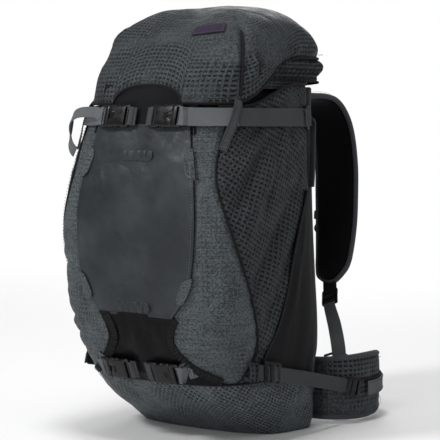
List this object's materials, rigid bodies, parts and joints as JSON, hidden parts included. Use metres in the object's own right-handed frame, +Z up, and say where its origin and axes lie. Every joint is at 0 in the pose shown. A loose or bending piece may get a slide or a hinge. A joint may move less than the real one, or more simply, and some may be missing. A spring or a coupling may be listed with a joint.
{
  "type": "ski backpack",
  "caption": "Top-loading ski touring backpack with hinged lid, coated front shield, compression straps, padded shoulder straps and hip belt.",
  "frame": {"origin": "on the flat underside of the base, on the pack's left-right mid plane, just inside the base's front edge, where the pack stands on the floor", "axes": "+Z up, +X to the right seen from the front (the pack's left-right axis of symmetry), -Y the front face away from the wearer, +Y the wearer's side"},
  "size_m": [0.355, 0.4408, 0.608],
  "materials": {
    "ripstop": "matte",
    "coated_fabric": "satin",
    "black_fabric": "matte",
    "mesh_padding": "matte",
    "webbing": "matte",
    "moulded_plastic": "satin",
    "frame_plastic": "satin",
    "label": "satin"
  },
  "bodies": {
    "pack": {"front_panel": "ripstop", "side_panel_left": "ripstop", "side_panel_right": "ripstop", "base_panel": "ripstop", "back_panel": "mesh_padding", "frame_sheet": "frame_plastic", "collar": "black_fabric", "front_shield": "coated_fabric", "lower_shield": "black_fabric", "lash_tab_upper": "coated_fabric", "lash_tab_lower": "coated_fabric", "haul_loop": "black_fabric", "lumbar_pad": "mesh_padding", "top_strap_left": "webbing", "top_strap_right": "webbing", "bottom_strap_left": "webbing", "bottom_strap_right": "webbing", "strap_keeper_left": "webbing", "strap_keeper_right": "webbing", "top_buckle_socket_left": "moulded_plastic", "top_buckle_socket_right": "moulded_plastic", "bottom_buckle_socket_left": "moulded_plastic", "bottom_buckle_socket_right": "moulded_plastic", "top_ladder_lock_left": "moulded_plastic", "top_ladder_lock_right": "moulded_plastic", "stabiliser_tab_left": "ripstop", "stabiliser_tab_right": "ripstop", "stabiliser_buckle_left": "moulded_plastic", "stabiliser_buckle_right": "moulded_plastic", "stabiliser_webbing_left": "webbing", "stabiliser_webbing_right": "webbing", "shoulder_webbing_left": "webbing", "shoulder_webbing_right": "webbing", "belt_root_left": "ripstop", "belt_root_right": "ripstop"},
    "lid": {"lid_shell": "ripstop", "lid_floor": "black_fabric", "lid_skirt": "ripstop", "lid_label": "label", "lid_zip": "black_fabric"},
    "zip_slider": {"lid_zip_slider": "moulded_plastic"},
    "zip_pull": {"lid_zip_pull": "moulded_plastic"},
    "top_plug_right": {"top_buckle_plug_right": "moulded_plastic"},
    "bottom_plug_right": {"bottom_buckle_plug_right": "moulded_plastic"},
    "shoulder_right": {"shoulder_pad_right": "mesh_padding", "shoulder_buckle_right": "moulded_plastic"},
    "sternum_right": {"sternum_strap_right": "webbing", "sternum_buckle_right": "moulded_plastic"},
    "wing_right": {"hip_wing_right": "ripstop", "belt_webbing_right": "webbing", "belt_buckle_right": "moulded_plastic"},
    "top_plug_left": {"top_buckle_plug_left": "moulded_plastic"},
    "bottom_plug_left": {"bottom_buckle_plug_left": "moulded_plastic"},
    "shoulder_left": {"shoulder_pad_left": "mesh_padding", "shoulder_buckle_left": "moulded_plastic"},
    "sternum_left": {"sternum_strap_left": "webbing", "sternum_buckle_left": "moulded_plastic"},
    "wing_left": {"hip_wing_left": "ripstop", "belt_webbing_left": "webbing", "belt_buckle_left": "moulded_plastic"}
  },
  "joints": [
    {"name": "lid_hinge", "type": "hinge", "parent": "pack", "child": "lid", "pos_m": [0, 0.154, 0.5], "axis": [-1, 0, 0], "range_deg": [0, 45]},
    {"name": "lid_zip_slide", "type": "slide", "parent": "lid", "child": "zip_slider", "axis": [-1, 0, 0], "range_m": [0, 0.17]},
    {"name": "lid_zip_pull_hinge", "type": "hinge", "parent": "zip_slider", "child": "zip_pull", "pos_m": [0.085, 0.17261, 0.54323], "axis": [1, 0, 0], "range_deg": [0, 85]},
    {"name": "top_buckle_right_release", "type": "slide", "parent": "pack", "child": "top_plug_right", "axis": [1, 0, 0], "range_m": [0, 0.022]},
    {"name": "bottom_buckle_right_release", "type": "slide", "parent": "pack", "child": "bottom_plug_right", "axis": [1, 0, 0], "range_m": [0, 0.022]},
    {"name": "shoulder_right_hinge", "type": "hinge", "parent": "pack", "child": "shoulder_right", "pos_m": [0.062, 0.136, 0.452], "axis": [1, 0, 0], "range_deg": [0, 10]},
    {"name": "sternum_right_slide", "type": "slide", "parent": "shoulder_right", "child": "sternum_right", "axis": [0, 0, 1], "range_m": [-0.03, 0.03]},
    {"name": "hip_wing_right_hinge", "type": "hinge", "parent": "pack", "child": "wing_right", "pos_m": [0.171, 0.215, 0.053], "axis": [0, 0, 1], "range_deg": [-15, 25], "stiffness_Nm_per_rad": 0.5},
    {"name": "top_buckle_left_release", "type": "slide", "parent": "pack", "child": "top_plug_left", "axis": [-1, 0, 0], "range_m": [0, 0.022]},
    {"name": "bottom_buckle_left_release", "type": "slide", "parent": "pack", "child": "bottom_plug_left", "axis": [-1, 0, 0], "range_m": [0, 0.022]},
    {"name": "shoulder_left_hinge", "type": "hinge", "parent": "pack", "child": "shoulder_left", "pos_m": [-0.062, 0.136, 0.452], "axis": [1, 0, 0], "range_deg": [0, 10]},
    {"name": "sternum_left_slide", "type": "slide", "parent": "shoulder_left", "child": "sternum_left", "axis": [0, 0, 1], "range_m": [-0.03, 0.03]},
    {"name": "hip_wing_left_hinge", "type": "hinge", "parent": "pack", "child": "wing_left", "pos_m": [-0.171, 0.215, 0.053], "axis": [0, 0, -1], "range_deg": [-15, 25], "stiffness_Nm_per_rad": 0.5}
  ]
}
